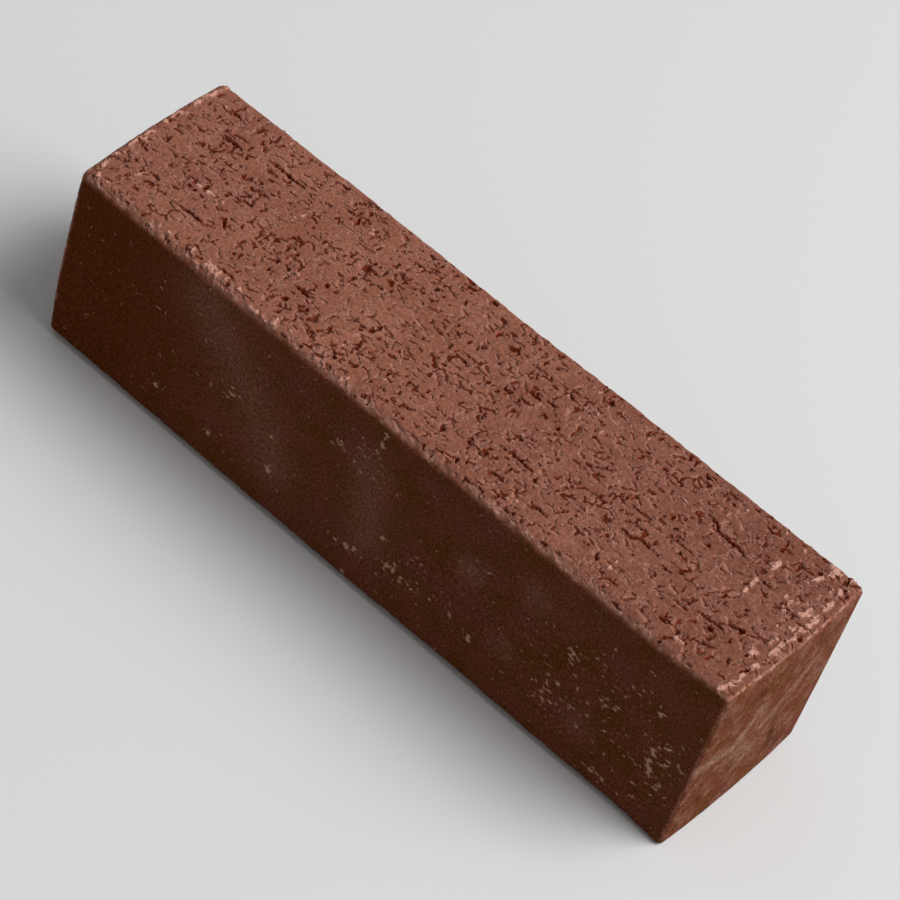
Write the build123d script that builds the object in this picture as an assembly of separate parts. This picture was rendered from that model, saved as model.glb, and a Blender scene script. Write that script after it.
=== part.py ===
from build123d import *
import os

# Clay paver: one narrow, solid unit of fired clay.
#
# The clay is extruded upwards through a die, which leaves four smooth upright
# sides, and is then cut across by wires, which leaves a torn face on top and
# another underneath. The paver lies on its lower cut face.
#
# Frame, in millimetres: origin at the middle of the lower cut face, +X along
# the length, +Y across the width, +Z up along the extruded column.

# Driving dimensions
LENGTH = 200.0  # over the crowns of the two ends
WIDTH = 52.0  # across the two long sides
HEIGHT = 52.0  # from cut to cut
END_CROWN = 0.8  # outward bow of each end in plan, where the clay swells after the die
CORNER_RADIUS = 2.4  # upright corners, rounded by the die
ARRIS_RADIUS = 2.0  # softened edge round each cut face
TEAR_WIDTH = 0.9  # widest part of a tear in the top
TEAR_DEPTH = 0.8

# Largest tears of the top, where the wire dragged the clay open: x and y along the middle of each
TEARS = (
    ((-87.0, 11.8), (-83.5, 12.0), (-80.0, 11.7)),
    ((-85.2, 13.4), (-84.6, 14.5), (-81.0, 15.0)),
    ((-74.0, 14.5), (-71.0, 14.8), (-62.0, 14.5)),
    ((-76.5, -14.8), (-70.0, -14.5), (-66.5, -14.9)),
    ((-67.1, -10.2), (-66.2, -8.9), (-64.0, -11.5)),
    ((-53.1, -2.4), (-52.6, -0.2), (-49.7, 0.5)),
    ((-42.1, -11.3), (-37.2, -11.6), (-35.9, -10.3)),
    ((12.4, 8.5), (15.0, 9.0), (17.3, 8.3)),
    ((20.2, -10.0), (25.0, -9.7), (30.3, -9.9)),
    ((23.8, -18.3), (24.9, -17.6), (28.0, -17.7)),
    ((35.6, -18.8), (36.9, -17.8), (40.9, -17.8)),
    ((37.5, 3.0), (39.8, 4.6), (41.9, 6.7)),
    ((52.6, -6.3), (56.7, -6.6), (58.0, -5.4), (64.5, -6.2)),
    ((62.5, 13.6), (65.9, 13.2), (67.9, 11.3), (73.7, 11.0), (76.8, 10.0)),
    ((78.6, -11.6), (84.1, -10.9), (85.0, -9.2), (86.2, -9.6)),
    ((83.3, -18.6), (86.0, -17.9), (88.3, -16.8)),
)


def die_section():
    """The column's section: straight long sides, crowned ends, rounded corners."""
    half_width = WIDTH / 2
    crown_x = LENGTH / 2
    shoulder_x = crown_x - END_CROWN
    front_side = Line((-shoulder_x, -half_width), (shoulder_x, -half_width))
    right_end = ThreePointArc(front_side @ 1, (crown_x, 0), (shoulder_x, half_width))
    back_side = Line(right_end @ 1, (-shoulder_x, half_width))
    left_end = ThreePointArc(back_side @ 1, (-crown_x, 0), front_side @ 0)
    outline = make_face([front_side, right_end, back_side, left_end])
    return fillet(outline.vertices(), CORNER_RADIUS)


def wire_cut_block():
    """The column cut to its height, with the edge of both cut faces softened."""
    column = extrude(die_section(), HEIGHT)
    faces_upwards = column.faces().sort_by(Axis.Z)
    cut_edges = faces_upwards[0].edges() + faces_upwards[-1].edges()
    return fillet(cut_edges, ARRIS_RADIUS)


def tear(places):
    """The space of one tear: a jagged leaf along its middle line, pointed at both ends."""
    middle = [Vector(x, y, HEIGHT) for x, y in places]
    left = []
    right = []
    for before, place, after in zip(middle, middle[1:], middle[2:]):
        across = (after - before).normalized().rotate(Axis.Z, 90) * (TEAR_WIDTH / 2)
        left.append(place + across)
        right.append(place - across)
    outline = Polyline(middle[0], *left, middle[-1], *reversed(right), close=True)
    return extrude(make_face(outline), TEAR_DEPTH, dir=(0, 0, -1))


def paver():
    """The block with its largest tears sunk in the top."""
    return wire_cut_block() - [tear(places) for places in TEARS]


os.makedirs("parts", exist_ok=True)
export_step(paver(), "parts/paver_body.step")
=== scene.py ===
"""Looks of the clay paver: a torn wire-cut top, smooth die-formed sides and worn edges."""

import bpy
import itertools
import math
import numpy as np
from mathutils import Matrix, Vector


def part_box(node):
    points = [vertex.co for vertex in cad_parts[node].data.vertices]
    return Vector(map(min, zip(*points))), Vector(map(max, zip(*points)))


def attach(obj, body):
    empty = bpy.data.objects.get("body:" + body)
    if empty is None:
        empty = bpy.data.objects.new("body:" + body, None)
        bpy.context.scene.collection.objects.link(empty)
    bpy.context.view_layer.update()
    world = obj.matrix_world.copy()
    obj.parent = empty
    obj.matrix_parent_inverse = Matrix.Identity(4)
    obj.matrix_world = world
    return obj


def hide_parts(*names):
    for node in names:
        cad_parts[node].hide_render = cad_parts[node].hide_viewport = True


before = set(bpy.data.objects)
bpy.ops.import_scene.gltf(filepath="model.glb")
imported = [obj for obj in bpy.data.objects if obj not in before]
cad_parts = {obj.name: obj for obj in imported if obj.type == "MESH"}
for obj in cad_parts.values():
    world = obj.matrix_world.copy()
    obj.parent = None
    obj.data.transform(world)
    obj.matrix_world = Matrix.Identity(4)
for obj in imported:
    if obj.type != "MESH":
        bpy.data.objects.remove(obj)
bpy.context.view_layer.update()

# Sizes and places are in millimetres about the block's middle, and MM turns them into metres
MM = 0.001
LOW, HIGH = (np.array(corner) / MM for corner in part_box("paver_body"))
HALF = (HIGH - LOW) / 2
MIDDLE = (HIGH + LOW) / 2
HALF_LENGTH, HALF_WIDTH, HALF_HEIGHT = HALF

# Form of the block
SHARP_RADIUS = 1.2  # edges at the back and at the right end
SOFT_RADIUS = 3.0  # edges along the front, as far as the left end
SOFT_ZONE = 18.0  # length over which the soft edges turn sharp towards the right end
END_CROWN = 0.8  # outward bow of each end in plan
END_ZONE = 25.0  # length over which an end's own shape fades out
LEFT_SKEW = 1.6  # how far the left end's corners stand off square
LEFT_BARREL = 0.8  # upright bow of the left end
WAVE = 0.2  # slow unevenness of all sides
WAVE_CELL = 30.0
EDGE_WEAR = 0.28  # depth of the small chips along the edges
END_CHIPS = 1.1  # depth of the chips along the top edges of the two ends
CHIP_CELLS = (2.8, 1.1)  # sizes of the larger and the smaller chips
TOP_SWELLS = ((0.06, 2.6), (0.03, 1.3))  # heights and sizes of the top's small unevenness
SKIN_SWELL = (0.03, 2.5)  # the same for the sides that the die formed
SIDES = {"top": (0, 0, 1), "bottom": (0, 0, -1), "front": (0, -1, 0), "right": (1, 0, 0)}

# Working mesh and its final size
GRID = np.array([0.22, 0.22, 0.72])  # spacing before the flat areas are thinned out
RASTER = 0.125  # spacing of the maps that the torn marks are drawn on
TRIANGLES = 199_000
SPOT_STRENGTH = 0.4  # spots above this strength keep a third of their points
SHEET = 264.0  # square on which the six sides are laid flat for baking
SHEET_GAP = 4.0

# Torn marks of a cut face: marks per square millimetre, usual length, half width and depth
TEAR_KINDS = ((0.065, 2.4, 0.28, 0.8), (0.015, 0.6, 0.41, 0.9))
TEAR_STEP = 0.35  # length of one straight piece of a mark
TEAR_FULL = 0.55  # depth at which a mark's painted shade is full
TEAR_BLUR = 0.5  # distance from the rim over which a mark's painted shade fades
TEAR_ACROSS = math.radians(105)  # the second direction that the wire's pull opens the clay in
SMOOTH_PATCH = 9.0  # size of the patches that came away with fewer marks
BOTTOM_SHARE = 0.15  # share of the top's marks that the underside has
LIP_REACH = 0.45
LIP_HEIGHTS = (0.02, 0.16)  # lowest and highest lip beside a mark
RAGGED = 0.2  # how far the outline of a mark wanders
RAGGED_CELL = 0.5
# Largest tears of the top, at their places in the solid: x and y along the middle of each
TEARS = (
    ((-87.0, 11.8), (-83.5, 12.0), (-80.0, 11.7)),
    ((-85.2, 13.4), (-84.6, 14.5), (-81.0, 15.0)),
    ((-74.0, 14.5), (-71.0, 14.8), (-62.0, 14.5)),
    ((-76.5, -14.8), (-70.0, -14.5), (-66.5, -14.9)),
    ((-67.1, -10.2), (-66.2, -8.9), (-64.0, -11.5)),
    ((-53.1, -2.4), (-52.6, -0.2), (-49.7, 0.5)),
    ((-42.1, -11.3), (-37.2, -11.6), (-35.9, -10.3)),
    ((12.4, 8.5), (15.0, 9.0), (17.3, 8.3)),
    ((20.2, -10.0), (25.0, -9.7), (30.3, -9.9)),
    ((23.8, -18.3), (24.9, -17.6), (28.0, -17.7)),
    ((35.6, -18.8), (36.9, -17.8), (40.9, -17.8)),
    ((37.5, 3.0), (39.8, 4.6), (41.9, 6.7)),
    ((52.6, -6.3), (56.7, -6.6), (58.0, -5.4), (64.5, -6.2)),
    ((62.5, 13.6), (65.9, 13.2), (67.9, 11.3), (73.7, 11.0), (76.8, 10.0)),
    ((78.6, -11.6), (84.1, -10.9), (85.0, -9.2), (86.2, -9.6)),
    ((83.3, -18.6), (86.0, -17.9), (88.3, -16.8)),
)
TEAR_WIDTH = 0.9
TEAR_DEPTH = 0.9
TEAR_THINNEST = 0.6  # share of the full width
# Finer tears that have their own places too
FINE_TEARS = (
    ((-97.5, -6.5), (-93.5, -7.8)),
    ((-74.2, 5.8), (-72.9, 4.9), (-71.6, 5.9)),
    ((-67.7, 6.2), (-66.9, 6.7), (-64.8, 6.4)),
    ((-60.9, -3.7), (-59.3, -3.9), (-58.0, -3.0)),
    ((-57.0, -3.8), (-52.8, -4.2)),
    ((-56.2, -22.2), (-52.0, -21.7), (-50.0, -22.7)),
    ((-49.0, -4.5), (-44.5, -5.5), (-44.0, -8.5)),
    ((-40.3, 11.4), (-38.5, 12.2)),
    ((-39.5, -19.9), (-36.4, -18.3)),
    ((-24.6, -17.3), (-23.6, -18.8), (-21.8, -18.3)),
    ((-17.3, 21.3), (-16.6, 23.1)),
    ((-16.5, -9.7), (-14.7, -10.2)),
    ((-4.8, 5.6), (1.2, 5.4)),
    ((9.9, 20.5), (10.0, 18.0)),
    ((10.0, 15.0), (10.0, 12.7)),
    ((12.9, 5.9), (15.0, 5.1), (17.3, 6.2)),
    ((19.1, 17.4), (21.5, 14.8)),
    ((22.0, 17.6), (22.8, 18.4), (25.4, 18.4)),
    ((38.8, -6.0), (40.6, -3.7), (44.0, -3.5)),
    ((45.3, -3.2), (47.1, -2.7)),
    ((50.2, 1.0), (56.0, 1.2)),
    ((54.4, -16.5), (56.2, -18.8)),
    ((54.9, 17.6), (56.2, 17.9), (57.3, 18.9)),
    ((60.1, -21.4), (60.6, -20.5), (63.8, -20.5)),
    ((60.4, 1.0), (69.5, 1.0)),
    ((60.4, 16.8), (61.2, 16.1), (62.7, 16.3)),
    ((78.6, -24.6), (81.0, -22.0)),
    ((82.8, 7.6), (86.7, 8.0)),
    ((90.6, 5.5), (95.0, 5.6)),
)
FINE_WIDTH = 0.6
FINE_DEPTH = 0.65
FINE_THINNEST = 0.6

# Rows of pale raised crumbs on the top: x and y of points of each, half width and strength
CRUMB_ROWS = (
    ((96.9, 26), (97.6, 8), (97.4, -10), (96.7, -26), 1.1, 1.3),
    ((95.0, 22), (96, 6), (94.5, -8), (96, -24), 2.6, 0.6),
    ((-98.0, 26), (-98.4, 6), (-98.0, -8), (-97.4, -18), (-95.8, -24), (-92, -25.5), 1.1, 1.1),
    ((82, 15.5), (82.4, 12), 0.8, 1.3),
    ((81.8, 7), (82.5, 0), 0.8, 1.3),
    ((90.2, 25), (92.5, 24), (92.5, 21), 0.8, 1.2),
    ((91.6, 19.5), (90.2, 16), 0.9, 1.2),
    ((90, 8.5), (91, 4.2), (92.5, 3.5), 0.9, 1.2),
    ((81.5, -21.5), (82.8, -21.8), 0.9, 1.3),
    ((-89.7, -13), (-89.5, -16.3), 0.8, 1.6),
    ((-77.5, -5.7), (-70, -5.7), 0.7, 1.3),
    ((-43, -24.9), (-39.3, -25), 0.8, 1.6),
    ((-72, -24.3), (-45, -24), (-15, -24), 1.8, 0.75),
)
CRUMB_HEIGHT = 0.4
CRUMB_CELL = 1.0
# Zones with pale scuffs on the front: middle x and z, spreads and strength
FRONT_SCUFFS = (
    (92, -5, 5, 9, 1.15),
    (89.5, 1, 4, 0.9, 1.3),
    (87.5, 8.6, 0.9, 0.9, 1.5),
    (80.5, 10.5, 2.0, 1.2, 1.2),
    (77, -20.8, 7, 1.0, 1.2),
    (75, 0.2, 4.5, 0.8, 2.0),
    (70, -3, 32, 16, 0.35),
    (71, 15, 0.8, 0.8, 1.4),
    (64, -8.2, 1.0, 1.6, 1.4),
    (62.5, 6.5, 2.5, 3.5, 1.05),
    (60, -9, 6, 6, 0.8),
    (36.8, -12.5, 1.6, 1.0, 1.9),
    (30, -10.5, 3, 2, 0.9),
    (19, -4, 3, 2, 0.8),
    (15.5, -11.5, 6, 3.5, 1.25),
    (9.5, -5, 0.7, 0.9, 2.2),
    (2, -23.3, 0.8, 1.3, 1.5),
    (1.1, 20.8, 0.6, 3.0, 1.8),
    (0, 9, 6, 9, 0.45),
    (0, -15.5, 5, 1.6, 1.4),
    (-10, 10, 0.8, 1.0, 1.9),
    (-25.7, -12.6, 1.3, 0.8, 2.0),
    (-27, -1.5, 0.8, 0.9, 2.0),
    (-40.5, 0, 2.2, 0.8, 2.2),
    (-44, -16, 1.3, 1.0, 2.3),
    (-58, -4.2, 0.9, 0.8, 1.8),
    (-61, -15, 3, 1.2, 1.5),
)
# Soft stains on the front (x, z) and on the right end (y, z): points of a line, half width and strength
FRONT_HAZE = (
    ((-54, 19), (-41, 8), (-31, -2), (-25, -10), 7.0, 0.34),
    ((32, 5.5), (32.5, 5.5), 3.0, 0.62),
    ((0, 10), (4, -9), 6.0, 0.34),
    ((49.5, 12.5), (50, 12.5), 4.0, 0.28),
    ((46, -9), (46.5, -8), 3.0, 0.32),
    ((69, -12), (69.5, -12), 4.0, 0.25),
)
END_HAZE = (
    ((-26, 1), (-16.5, -0.5), (-11.5, -1), (-5.3, 8.5), 1.3, 1.2),
    ((-1, -1.5), (3, 1.5), (8.5, 6), (15, 11.5), 1.4, 1.0),
    ((-11, -1), (-2, -10), 3.5, 0.5),
)
END_STAINS = (
    ((7.8, -10.4), (9, -11.5), 1.3, 0.7),
    ((9, -15.5), (10, -16.5), 1.4, 0.8),
    ((14, -19), (15, -19.5), 1.3, 0.6),
    ((-17.8, -14.5), (-17, -15.5), 0.9, 0.7),
    ((-10, 16.5), (-8.5, 15), 1.3, 0.5),
)


def smooth_step(low, high, values):
    """0 below low, 1 above high and a smooth rise between."""
    part = np.clip((values - low) / (high - low), 0, 1)
    return part * part * (3 - 2 * part)


def noise(points, cell, seed):
    """Smooth random values from -1 to 1 that change over lengths of about one cell."""
    table = np.random.default_rng(seed).uniform(-1, 1, 65536)
    hash_steps = np.array([73856093, 19349663, 83492791])[: points.shape[-1]]
    scaled = points / cell
    base = np.floor(scaled).astype(np.int64)
    part = smooth_step(0, 1, scaled - base)
    total = np.zeros(points.shape[:-1])
    for corner in itertools.product((0, 1), repeat=points.shape[-1]):
        weight = np.prod(np.where(corner, part, 1 - part), axis=-1)
        keys = ((base + corner) * hash_steps).sum(axis=-1) % len(table)
        total += weight * table[keys]
    return total


class TornFace:
    """Torn marks of one cut face, drawn on a fine raster over x and y."""

    def __init__(self, seed):
        self.half = HALF[:2]
        self.last_cell = np.ceil(2 * self.half / RASTER).astype(int)
        cells = [np.arange(last + 1) * RASTER - half for last, half in zip(self.last_cell, self.half)]
        grid = np.stack(np.meshgrid(*cells, indexing="ij"), axis=-1)
        wander = [RAGGED * noise(grid, RAGGED_CELL, seed + k) for k in range(2)]
        self.x, self.y = np.moveaxis(grid, -1, 0) + wander
        self.layers = {name: np.zeros(self.x.shape, np.float32) for name in ("depth", "painted_shade", "lip")}

    def put(self, name, window, values):
        """Draws values into a layer, where they are larger than what is there."""
        drawn = self.layers[name][window]
        np.maximum(drawn, values, out=drawn)

    def stroke(self, path, widths, reach):
        """A crooked line of varying half width. Gives the part of the map round it and, for each cell,
        the distance from the line's rim, negative inside, its half width, and if it is on the left."""
        margin = np.max(widths) + reach + RAGGED
        first = np.floor((path.min(axis=0) - margin + self.half) / RASTER).astype(int)
        last = np.ceil((path.max(axis=0) + margin + self.half) / RASTER).astype(int)
        first = np.clip(first, 0, self.last_cell)
        last = np.clip(last, 0, self.last_cell)
        window = tuple(slice(a, b + 1) for a, b in zip(first, last))
        start_x, start_y = path[:-1].T[:, :, None, None]
        run_x, run_y = np.diff(path, axis=0).T[:, :, None, None]
        dx = self.x[window] - start_x
        dy = self.y[window] - start_y
        along = np.clip((dx * run_x + dy * run_y) / (run_x**2 + run_y**2), 0, 1)
        half_width = widths[:-1, None, None] + along * np.diff(widths)[:, None, None]
        rim = np.hypot(dx - along * run_x, dy - along * run_y) - half_width
        nearest = rim.argmin(axis=0)[None]
        rim, half_width, hand = (
            np.take_along_axis(values, nearest, axis=0)[0]
            for values in (rim, half_width, run_x * dy - run_y * dx)
        )
        return window, rim, half_width, hand > 0

    def read(self, name, points):
        """The layer's value at each point of the block."""
        cells = np.clip((points[:, :2] + self.half) / RASTER, 0, self.last_cell - 0.001)
        base = cells.astype(int)
        part = cells - base
        total = np.zeros(len(points))
        for corner in itertools.product((0, 1), repeat=2):
            weight = np.prod(np.where(corner, part, 1 - part), axis=1)
            total += weight * self.layers[name][tuple((base + corner).T)]
        return total


def width_shares(rng, steps, thinnest):
    """A mark's share of its full width at each point: uneven, and less towards both ends."""
    taper = np.sin(np.pi * (np.arange(steps + 1) + 0.5) / (steps + 1)) ** 0.6
    knots = rng.uniform(thinnest, 1.3, steps // 3 + 2)
    return taper * np.interp(np.arange(steps + 1) / 3, np.arange(len(knots)), knots)


def line_through(rng, places):
    """A slightly uneven line through given places, in steps of about TEAR_STEP."""
    places = np.array(places)
    reached = np.append(0, np.cumsum(np.linalg.norm(np.diff(places, axis=0), axis=1)))
    steps = max(2, round(reached[-1] / TEAR_STEP))
    stops = np.linspace(0, reached[-1], steps + 1)
    path = np.stack([np.interp(stops, reached, values) for values in places.T], axis=-1)
    return path + rng.normal(0, 0.4 * TEAR_STEP, path.shape)


def stepped_line(rng, length):
    """A short jagged line about its own middle, which keeps stepping between the length of the block
    and the second tearing direction."""
    steps = max(2, round(length / TEAR_STEP))
    turns = np.cumsum(rng.random(steps) < 0.25) + rng.integers(2)
    hands = rng.choice((-1, 1), turns.max() + 1)[turns]
    headings = np.where(turns % 2, TEAR_ACROSS * hands, 0) + rng.normal(0, 0.35, steps)
    moves = np.stack([np.cos(headings), np.sin(headings)], axis=-1) * length / steps
    path = np.vstack([np.zeros(2), np.cumsum(moves, axis=0)])
    return path - path.mean(axis=0)


def draw_tear(face, rng, path, half_width, depth, thinnest):
    """A torn mark with a steep wall all round and a raised lip on one hand."""
    widths = half_width * width_shares(rng, len(path) - 1, thinnest)
    window, rim, half_width, left = face.stroke(path, widths, 2 * LIP_REACH)
    face.put("depth", window, depth * smooth_step(0, 0.55, -rim / half_width))
    # Strength of the shade painted in and round the mark, from its depth
    face.put("painted_shade", window, min(1, depth / TEAR_FULL) * np.clip(1 - rim / TEAR_BLUR, 0, 2))
    lip = rng.uniform(*LIP_HEIGHTS) * np.exp(-((np.maximum(rim, 0) / LIP_REACH) ** 2))
    face.put("lip", window, left * lip)


def torn_face(seed, share):
    """A cut face covered with short torn marks, fewer where the clay came away smooth."""
    face = TornFace(seed)
    rng = np.random.default_rng(seed)
    for density, usual_length, usual_width, usual_depth in TEAR_KINDS:
        count = int(share * density * 4 * face.half.prod())
        centres = rng.uniform(-face.half, face.half, (count, 2))
        rough = smooth_step(-0.9, -0.1, noise(centres, SMOOTH_PATCH, 21)) > rng.random(count)
        for centre in centres[rough]:
            length = np.clip(rng.lognormal(math.log(usual_length), 0.5), 0.4, 6)
            half_width = usual_width * rng.lognormal(0, 0.3)
            path = centre + stepped_line(rng, length)
            draw_tear(face, rng, path, half_width, usual_depth * rng.uniform(0.6, 1.3), FINE_THINNEST)
    return face


def torn_top():
    """The top, with its largest tears where they are."""
    face = torn_face(11, 1.0)
    rng = np.random.default_rng(10)
    for places in TEARS:
        draw_tear(face, rng, line_through(rng, places), TEAR_WIDTH / 2, TEAR_DEPTH, TEAR_THINNEST)
    for places in FINE_TEARS:
        draw_tear(face, rng, line_through(rng, places), FINE_WIDTH / 2, FINE_DEPTH, FINE_THINNEST)
    return face


def in_zones(across, up, zones):
    """How strongly each place of a side lies in soft oval zones."""
    strength = np.zeros(len(across))
    for middle_across, middle_up, spread_across, spread_up, full in zones:
        away = ((across - middle_across) / spread_across) ** 2 + ((up - middle_up) / spread_up) ** 2
        strength = np.maximum(strength, full * np.exp(-away))
    return strength


def near_lines(across, up, lines):
    """How strongly each place of a side is stained by soft lines."""
    strength = np.zeros(len(across))
    places = np.stack([across, up], axis=-1)
    for *path, half_width, full in lines:
        path = np.array(path, float)
        for start, run in zip(path[:-1], np.diff(path, axis=0)):
            along = np.clip((places - start) @ run / (run @ run), 0, 1)
            away = np.linalg.norm(places - start - along[:, None] * run, axis=1)
            strength = np.maximum(strength, full * np.exp(-((away / half_width) ** 2)))
    return strength


def lattice_block(size, spacing):
    """A closed block of quads: its points from -1 to 1 on each axis, and each quad's corners."""
    counts = np.ceil(size / spacing).astype(int)
    strides = np.array([1, counts[0] + 1, (counts[0] + 1) * (counts[1] + 1)])
    quads = []
    for axis in range(3):
        across = (axis + 1) % 3
        along = (axis + 2) % 3
        i, j = np.meshgrid(np.arange(counts[across]), np.arange(counts[along]), indexing="ij")
        for level, turn in ((0, -1), (counts[axis], 1)):
            corners = ((0, 0), (1, 0), (1, 1), (0, 1))[::turn]
            keys = [
                level * strides[axis] + (i + di) * strides[across] + (j + dj) * strides[along]
                for di, dj in corners
            ]
            quads.append(np.stack(keys, axis=-1).reshape(-1, 4))
    keys, faces = np.unique(np.concatenate(quads), return_inverse=True)
    steps = np.stack([keys % strides[1], keys // strides[1] % (counts[1] + 1), keys // strides[2]], axis=-1)
    return 2 * steps / counts - 1, faces.reshape(-1, 4)


def rounded_block(lattice):
    """Points of the block with rounded edges, about its middle, and their outward normals."""
    to_front = (1 - lattice[:, 1]) / 2
    to_right = smooth_step(1 - SOFT_ZONE / HALF_LENGTH, 1, lattice[:, 0])
    radius = SHARP_RADIUS + (SOFT_RADIUS - SHARP_RADIUS) * to_front * (1 - to_right)
    outer = lattice * HALF
    inner = np.clip(outer, radius[:, None] - HALF, HALF - radius[:, None])
    normals = outer - inner
    normals /= np.linalg.norm(normals, axis=1, keepdims=True)
    return inner + radius[:, None] * normals, normals


def bend_ends(points):
    """Crowns both ends in plan, and turns and barrels the left one slightly."""
    bent = points.copy()
    x, y, z = (points / HALF).T
    near_end = np.clip((np.abs(points[:, 0]) - HALF_LENGTH + END_ZONE) / END_ZONE, 0, 1)
    bent[:, 0] -= np.sign(x) * near_end * END_CROWN * y**2
    bent[:, 0] += np.where(x < 0, near_end, 0) * (LEFT_BARREL * z**2 - LEFT_SKEW * y)
    return bent


def surface_relief(points, normals):
    """How far each point stands out of the plain block, and its masks for the material."""
    x, y, z = points.T
    facing = {side: smooth_step(0.45, 0.8, normals @ direction) for side, direction in SIDES.items()}
    cut = facing["top"] + facing["bottom"]
    edge = smooth_step(0.2, 0.68, np.sort(np.abs(normals), axis=1)[:, 1])
    top_end = smooth_step(0.15, 0.5, np.minimum(np.abs(normals[:, 0]), normals[:, 2]))
    out = WAVE * noise(points, WAVE_CELL, 1)
    for seed, (height, cell) in enumerate(TOP_SWELLS, 2):
        out += facing["top"] * height * noise(points, cell, seed)
    height, cell = SKIN_SWELL
    out += (1 - cut) * height * noise(points, cell, 4)
    # Strength of the shade that the material paints in and round the torn marks
    tear_shade = np.zeros(len(points))
    for side, face in (("top", torn_top()), ("bottom", torn_face(12, BOTTOM_SHARE))):
        depth = face.read("depth", points) * facing[side]
        out += np.where(depth > 0.03, -depth, face.read("lip", points) * facing[side])
        tear_shade += face.read("painted_shade", points) * facing[side]
    gaps = 0.45 * noise(points, 4 * CRUMB_CELL, 8)
    crumbs = noise(points * (1, 0.6, 1), CRUMB_CELL, 7) + 0.4 * noise(points, 0.5 * CRUMB_CELL, 9)
    crumbs += gaps + 1.1 * near_lines(x, y, CRUMB_ROWS)
    crumbs = facing["top"] * smooth_step(0.9, 1.4, crumbs)
    out += CRUMB_HEIGHT * crumbs
    facing_up = smooth_step(0.0, 0.3, normals[:, 2])
    left_corner = smooth_step(0.15, 0.5, np.minimum(-normals[:, 0], -normals[:, 1]))
    out -= facing["bottom"] * np.maximum(out, 0)  # nothing stands out below the bed face
    chipped = np.maximum(top_end, left_corner)
    large, small = (noise(points, cell, seed) for seed, cell in enumerate(CHIP_CELLS, 5))
    chips = np.maximum(0.3 + 0.8 * large + 0.5 * small, 0)
    out -= edge * chips * (EDGE_WEAR + (END_CHIPS - EDGE_WEAR) * chipped)
    haze = facing["front"] * near_lines(x, z, FRONT_HAZE)
    haze += facing["right"] * near_lines(y, z, END_HAZE)
    masks = {
        "skin": 1 - cut,
        "wear": edge * np.maximum(facing_up, 0.25 + 0.75 * left_corner),
        "tear_shade": tear_shade,
        "fresh": edge * np.maximum(chipped, 0.35 * facing_up),
        "crumb": crumbs,
        "end": smooth_step(0.45, 0.8, np.abs(normals[:, 0])),
        "scuff": facing["front"] * in_zones(x, z, FRONT_SCUFFS),
        "haze": haze,
        "stain": facing["right"] * near_lines(y, z, END_STAINS),
    }
    return out, masks


def mesh_object(name, points, faces, masks):
    """A mesh object from points about the block's middle."""
    mesh = bpy.data.meshes.new(name)
    mesh.vertices.add(len(points))
    mesh.vertices.foreach_set("co", ((points + MIDDLE) * MM).astype(np.float32).ravel())
    mesh.loops.add(faces.size)
    mesh.loops.foreach_set("vertex_index", faces.astype(np.int32).ravel())
    mesh.polygons.add(len(faces))
    mesh.polygons.foreach_set("loop_start", np.arange(0, faces.size, 4, dtype=np.int32))
    mesh.update(calc_edges=True)
    for mask, values in masks.items():
        mesh.attributes.new(mask, "FLOAT", "POINT").data.foreach_set("value", values.astype(np.float32))
    piece = bpy.data.objects.new(name, mesh)
    bpy.context.scene.collection.objects.link(piece)
    return piece


def thin_out(piece, kept, triangles):
    """Merges small faces of flat areas until about that many triangles are left, but no kept points."""
    group = piece.vertex_groups.new(name="thin")
    group.add(np.flatnonzero(~kept).tolist(), 1.0, "REPLACE")
    modifier = piece.modifiers.new("thin", "DECIMATE")
    modifier.ratio = triangles / (2 * len(piece.data.polygons))
    modifier.use_collapse_triangulate = True
    modifier.vertex_group = group.name
    modifier.vertex_group_factor = 1000.0  # the strongest influence, so kept points go last
    graph = bpy.context.evaluated_depsgraph_get()
    thinned = bpy.data.meshes.new_from_object(piece.evaluated_get(graph))
    piece.modifiers.clear()
    piece.vertex_groups.clear()
    piece.data = thinned
    thinned.polygons.foreach_set("use_smooth", np.ones(len(thinned.polygons), bool))


def lay_flat(mesh):
    """Maps the six sides flat on a sheet at one scale: the long ones in four rows, the ends beside them."""
    corners = np.empty(len(mesh.loops), np.int32)
    mesh.loops.foreach_get("vertex_index", corners)
    points = np.empty(3 * len(mesh.vertices), np.float32)
    mesh.vertices.foreach_get("co", points)
    triangles = (points.reshape(-1, 3) / MM - MIDDLE)[corners].reshape(-1, 3, 3)
    centres = triangles.mean(axis=1)
    facing = (HALF - np.abs(centres)).argmin(axis=1)
    flat = np.zeros((len(triangles), 3, 2))
    row_height = 2 * HALF_WIDTH + SHEET_GAP
    long_middle = SHEET_GAP + HALF_LENGTH
    end_middle = 2 * (SHEET_GAP + HALF_LENGTH) + HALF_WIDTH
    places = ((0, 1, 2, end_middle, 0), (1, 0, 2, long_middle, 0), (2, 0, 1, long_middle, 2))
    for axis, across, up, column, first_row in places:
        for row, side in enumerate((-1, 1), first_row):
            there = (facing == axis) & (centres[:, axis] * side > 0)
            mirror = -side if axis == 1 else side
            flat[there, :, 0] = column + mirror * triangles[there][:, :, across]
            flat[there, :, 1] = (row + 0.5) * row_height + triangles[there][:, :, up]
    mesh.uv_layers.new(name="OFBake").uv.foreach_set("vector", (flat / SHEET).astype(np.float32).ravel())


def paver_piece():
    """The paver with all its relief."""
    lattice, faces = lattice_block(2 * HALF, GRID)
    lattice[:, 2] = np.sin(lattice[:, 2] * math.pi / 2)  # closer levels towards top and bottom
    points, normals = rounded_block(lattice)
    out, masks = surface_relief(points, normals)
    piece = mesh_object("paver", bend_ends(points + normals * out[:, None]), faces, masks)
    spotted = np.maximum(masks["scuff"], masks["stain"]) > SPOT_STRENGTH
    kept = spotted & (np.arange(len(points)) % 3 == 0)
    thin_out(piece, kept, TRIANGLES)
    lay_flat(piece.data)
    return piece


paver = paver_piece()
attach(paver, "root")
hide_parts("paver_body")


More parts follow.
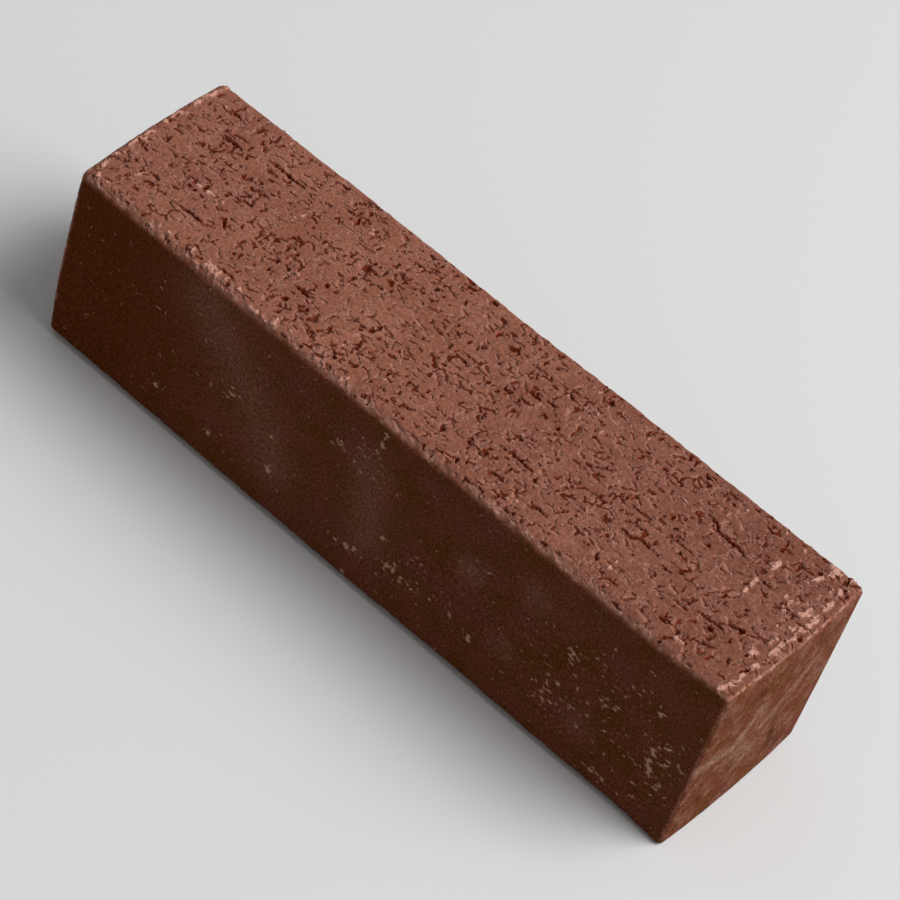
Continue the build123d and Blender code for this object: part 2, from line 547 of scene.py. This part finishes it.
def linear(red, green, blue):
    """A colour written in display values from 0 to 255, for a shader."""
    shares = np.array([red, green, blue]) / 255
    values = np.where(shares <= 0.04045, shares / 12.92, ((shares + 0.055) / 1.055) ** 2.4)
    return (*values, 1.0)


class Nodes:
    """Short ways to add nodes to a material or world."""

    def __init__(self, tree):
        self.tree = tree

    def feed(self, socket, value):
        if isinstance(value, bpy.types.NodeSocket):
            self.tree.links.new(value, socket)
        else:
            socket.default_value = value

    def add(self, kind, **inputs):
        node = self.tree.nodes.new(kind)
        for name, value in inputs.items():
            self.feed(node.inputs[name.replace("_", " ")], value)
        return node

    def mask(self, name):
        node = self.add("ShaderNodeAttribute")
        node.attribute_name = name
        return node.outputs["Fac"]

    def noise(self, place, size_mm, detail=2.0, output="Fac"):
        node = self.add("ShaderNodeTexNoise", Vector=place, Scale=1 / (size_mm * MM), Detail=detail)
        return node.outputs[output]

    def span(self, value, low, high, to_low=0.0, to_high=1.0):
        """value taken from the range low to high and stretched to another."""
        node = self.add("ShaderNodeMapRange", Value=value, From_Min=low, From_Max=high)
        node.inputs["To Min"].default_value = to_low
        node.inputs["To Max"].default_value = to_high
        return node.outputs["Result"]

    def operate(self, kind, operation, first, second):
        node = self.tree.nodes.new(kind)
        node.operation = operation
        self.feed(node.inputs[0], first)
        self.feed(node.inputs[1], second)
        return node.outputs[0]

    def math(self, operation, first, second):
        return self.operate("ShaderNodeMath", operation, first, second)

    def vector(self, operation, first, second):
        return self.operate("ShaderNodeVectorMath", operation, first, second)

    def mix(self, factor, first, second, blend="MIX"):
        node = self.tree.nodes.new("ShaderNodeMix")
        node.data_type = "RGBA"
        node.blend_type = blend
        self.feed(node.inputs[0], factor)
        self.feed(node.inputs[6], first)
        self.feed(node.inputs[7], second)
        return node.outputs[2]


def crack_field(nodes, place, cell_mm, stretch, wander_mm, widest):
    """Jagged, broken cracks round cells of clay in the x-y plane: above 0 inside a crack, and falling off
    outside it, in shares of a cell. The cells are longer along x by the factor stretch."""
    wander = nodes.noise(place, 1.1 * wander_mm, 3.0, "Color")
    wander = nodes.vector("SUBTRACT", wander, (0.5, 0.5, 0.5))
    moved = nodes.vector("ADD", place, nodes.vector("MULTIPLY", wander, (wander_mm * MM,) * 3))
    moved = nodes.vector("MULTIPLY", moved, (1 / stretch, 1.0, 1.0))
    cells = nodes.add("ShaderNodeTexVoronoi", Vector=moved, Scale=1 / (cell_mm * MM))
    cells.voronoi_dimensions = "2D"
    cells.feature = "DISTANCE_TO_EDGE"
    broken = nodes.span(nodes.noise(place, 2.4, 3.0), 0.42, 0.6, -2.2 * widest, widest)
    rough = nodes.span(nodes.noise(place, 9.0), 0.35, 0.65, -0.7 * widest, 0.25 * widest)
    return nodes.math("SUBTRACT", nodes.math("ADD", broken, rough), cells.outputs["Distance"])


def moved_by(nodes, place, x_mm, y_mm):
    """The same places shifted, so that a pattern differs from its neighbours."""
    return nodes.vector("ADD", place, (x_mm * MM, y_mm * MM, 0.0))


def torn_clay(nodes, place):
    """Colour of a cut face, with painted shade in its cracks and torn marks and painted highlights beside
    the cracks, and the height of its fine cracks.
    """
    patches = nodes.span(nodes.noise(place, 14.0), 0.4, 0.65)
    colour = nodes.mix(patches, linear(139, 86, 68), linear(149, 95, 77))
    plum = nodes.span(nodes.noise(place, 22.0, 1.0), 0.55, 0.7, 0.0, 0.25)
    colour = nodes.mix(plum, colour, linear(138, 88, 79))
    along = nodes.add("ShaderNodeSeparateXYZ", Vector=place).outputs["X"]
    colour = nodes.mix(1.0, colour, nodes.span(along, -20 * MM, 75 * MM, 1.06, 0.82), "MULTIPLY")
    mottle = nodes.span(nodes.noise(place, 0.9, 6.0), 0.3, 0.7, 0.7, 1.3)
    colour = nodes.mix(1.0, colour, mottle, "MULTIPLY")
    short_cracks = crack_field(nodes, place, 2.6, 1.5, 1.8, 0.115)
    long_cracks = crack_field(nodes, moved_by(nodes, place, 31, 22), 4.4, 2.2, 2.0, 0.08)
    cracks = nodes.math("MAXIMUM", short_cracks, long_cracks)
    # Pale rings beside the cracks are painted highlights, standing in for lips that catch the light
    painted_rim_highlights = nodes.span(cracks, -0.17, -0.05, 0.0, 0.6)
    colour = nodes.mix(painted_rim_highlights, colour, linear(188, 134, 116))
    crumbly = nodes.span(nodes.noise(place, 0.7, 3.0), 0.36, 0.56, 0.3, 1.0)
    crumbs = nodes.math("MULTIPLY", nodes.mask("crumb"), crumbly)
    colour = nodes.mix(crumbs, colour, linear(220, 164, 146))
    # Darker inside the cracks: painted shade, since these cracks are only a bump and cast no shade of their
    # own
    colour = nodes.mix(nodes.span(cracks, -0.04, 0.05, 0.0, 0.95), colour, linear(112, 45, 22))
    colour = nodes.mix(nodes.span(cracks, 0.03, 0.12, 0.0, 0.95), colour, linear(82, 24, 6))
    ragged = nodes.span(nodes.noise(place, 0.5, 3.0), 0.0, 1.0, -0.5, 0.5)
    # Darker in and round the torn marks: painted shade, added to the shade of their real hollows
    torn = nodes.math("ADD", nodes.mask("tear_shade"), ragged)
    colour = nodes.mix(nodes.span(torn, 0.8, 1.3), colour, linear(118, 47, 23))
    colour = nodes.mix(nodes.span(torn, 1.2, 1.7), colour, linear(90, 28, 8))
    return colour, nodes.span(cracks, -0.12, 0.06, 0.0, -1.0)


def die_skin(nodes, place):
    """Colour of the smooth sides: brown with olive and red patches, haze, spots, grain and scuffs."""
    patches = nodes.span(nodes.noise(place, 9.0), 0.4, 0.6)
    colour = nodes.mix(patches, linear(113, 65, 31), linear(127, 69, 48))
    plum = nodes.span(nodes.noise(moved_by(nodes, place, 40, 30), 16.0), 0.48, 0.64, 0.0, 0.45)
    colour = nodes.mix(plum, colour, linear(122, 68, 54))
    along = nodes.add("ShaderNodeSeparateXYZ", Vector=place).outputs
    end = nodes.mask("end")
    left_part = nodes.span(along["X"], -45 * MM, -80 * MM, 0.0, 0.85)
    left_part = nodes.math("MULTIPLY", left_part, nodes.span(end, 0.0, 1.0, 1.0, 0.0))
    colour = nodes.mix(left_part, colour, linear(106, 50, 14))
    beige = nodes.span(nodes.noise(place, 3.5, 4.0), 0.45, 0.65, 0.0, 0.8)
    colour = nodes.mix(nodes.math("MULTIPLY", beige, end), colour, linear(152, 104, 84))
    dusty = nodes.span(nodes.noise(place, 0.6, 3.0), 0.3, 0.7, 0.3, 1.0)
    haze = nodes.math("MULTIPLY", nodes.mask("haze"), dusty)
    colour = nodes.mix(haze, colour, linear(184, 140, 120))
    colour = nodes.mix(nodes.mask("stain"), colour, linear(70, 32, 20))
    grain = nodes.span(nodes.noise(place, 0.65, 4.0), 0.36, 0.64, 0.6, 1.4)
    colour = nodes.mix(1.0, colour, grain, "MULTIPLY")
    drawn_out = nodes.vector("MULTIPLY", place, (0.7, 1.0, 1.0))
    more = nodes.math("MULTIPLY", nodes.mask("scuff"), 0.17)
    dabs = nodes.math("ADD", nodes.noise(drawn_out, 1.1, 4.0), more)
    return nodes.mix(nodes.span(dabs, 0.68, 0.76, 0.0, 0.9), colour, linear(220, 174, 146))


def fired_clay():
    """Red fired clay: matte and torn on the cut faces, smoother and browner on the die sides."""
    material = bpy.data.materials.new("fired_clay")
    material.use_nodes = True
    nodes = Nodes(material.node_tree)
    shader = material.node_tree.nodes["Principled BSDF"]
    place = nodes.add("ShaderNodeTexCoord").outputs["Object"]
    skin = nodes.mask("skin")
    worn = nodes.mask("wear")
    cut_colour, torn_height = torn_clay(nodes, place)
    colour = nodes.mix(skin, cut_colour, die_skin(nodes, place))
    uneven = nodes.span(nodes.noise(place, 2.4, 4.0), 0.4, 0.6, 0.15, 0.7)
    colour = nodes.mix(nodes.math("MULTIPLY", worn, uneven), colour, linear(184, 130, 112))
    fresh = nodes.math("MULTIPLY", nodes.mask("fresh"), 0.2)
    chips = nodes.math("ADD", nodes.noise(place, 2.2, 5.0), fresh)
    chips = nodes.math("MULTIPLY", nodes.span(chips, 0.64, 0.76, 0.0, 0.9), worn)
    colour = nodes.mix(chips, colour, linear(205, 154, 136))
    nodes.feed(shader.inputs["Base Color"], colour)
    nodes.feed(shader.inputs["Roughness"], nodes.span(skin, 0.0, 1.0, 0.92, 0.78))
    shader.inputs["Specular IOR Level"].default_value = 0.04
    swell = nodes.math("MULTIPLY", nodes.noise(place, 0.9, 4.0), nodes.span(skin, 0.0, 1.0, 0.5, 0.2))
    torn_height = nodes.math("MULTIPLY", torn_height, nodes.span(skin, 0.0, 0.6, 1.0, 0.0))
    height = nodes.math("ADD", swell, torn_height)
    relief = nodes.add("ShaderNodeBump", Height=height, Strength=1.0, Distance=0.55 * MM)
    nodes.feed(shader.inputs["Normal"], relief.outputs["Normal"])
    return material


paver.data.materials.clear()
paver.data.materials.append(fired_clay())

# Stage: floor, light and camera
FLOOR_SEEN = 0.78  # the floor's shade to the camera
FLOOR_BOUNCE = 0.2  # how much of the light it sends back to the paver
AMBIENT = 0.24
KEY_DIRECTION = Vector((0.54, 0.28, 0.79)).normalized()
KEY_DISTANCE = 2.6
KEY_SIZE = 1.9
CAMERA_AIM = Vector((2.66, 2.78, 26.54)) * MM
CAMERA_AZIMUTH = math.radians(27.0)
CAMERA_ELEVATION = math.radians(44.0)
CAMERA_ROLL = math.radians(19.65)
CAMERA_DISTANCE = 0.7573
CAMERA_LENS = 131.3


def seen_by_camera(nodes):
    """1 where a ray comes from the camera, directly or through a mirror or glass."""
    path = nodes.add("ShaderNodeLightPath").outputs
    mirrored = nodes.math("MAXIMUM", path["Is Glossy Ray"], path["Is Transmission Ray"])
    return nodes.math("MAXIMUM", path["Is Camera Ray"], mirrored)


def grey(value):
    return (value, value, value, 1.0)


def floor_piece():
    mesh = bpy.data.meshes.new("floor")
    reach = 4.0
    corners = [(-reach, -reach, 0), (reach, -reach, 0), (reach, reach, 0), (-reach, reach, 0)]
    mesh.from_pydata(corners, [], [(0, 1, 2, 3)])
    floor = bpy.data.objects.new("floor", mesh)
    bpy.context.scene.collection.objects.link(floor)
    material = bpy.data.materials.new("floor")
    material.use_nodes = True
    nodes = Nodes(material.node_tree)
    shader = material.node_tree.nodes["Principled BSDF"]
    shade = nodes.mix(seen_by_camera(nodes), grey(FLOOR_BOUNCE), grey(FLOOR_SEEN))
    nodes.feed(shader.inputs["Base Color"], shade)
    shader.inputs["Roughness"].default_value = 0.9
    mesh.materials.append(material)
    return floor


def light_up():
    world = bpy.data.worlds.new("studio")
    bpy.context.scene.world = world
    world.use_nodes = True
    nodes = Nodes(world.node_tree)
    background = world.node_tree.nodes["Background"]
    shade = nodes.mix(seen_by_camera(nodes), grey(AMBIENT), grey(FLOOR_SEEN))
    nodes.feed(background.inputs["Color"], shade)
    lamp = bpy.data.lights.new("key", "AREA")
    lamp.size = KEY_SIZE
    # Lamp and surroundings together light a level white surface fully
    lamp.energy = math.pi**2 * KEY_DISTANCE**2 * (1 - AMBIENT) / KEY_DIRECTION.z
    key = bpy.data.objects.new("key", lamp)
    key.location = KEY_DIRECTION * KEY_DISTANCE
    key.rotation_euler = KEY_DIRECTION.to_track_quat("Z", "Y").to_euler()
    bpy.context.scene.collection.objects.link(key)


def camera_piece():
    camera = bpy.data.objects.new("camera", bpy.data.cameras.new("camera"))
    bpy.context.scene.collection.objects.link(camera)
    camera.data.sensor_width = 36.0
    camera.data.lens = CAMERA_LENS
    tilt = Matrix.Rotation(math.pi / 2 - CAMERA_ELEVATION, 4, "X")
    turn = Matrix.Rotation(CAMERA_AZIMUTH, 4, "Z") @ tilt
    back = (turn @ Vector((0, 0, 1, 0))).to_3d()
    place = Matrix.Translation(CAMERA_AIM + back * CAMERA_DISTANCE)
    camera.matrix_world = place @ turn @ Matrix.Rotation(CAMERA_ROLL, 4, "Z")
    camera.data.clip_start = 0.01
    return camera


floor_piece()
light_up()
bpy.context.scene.camera = camera_piece()
bpy.context.scene.view_settings.view_transform = "Standard"
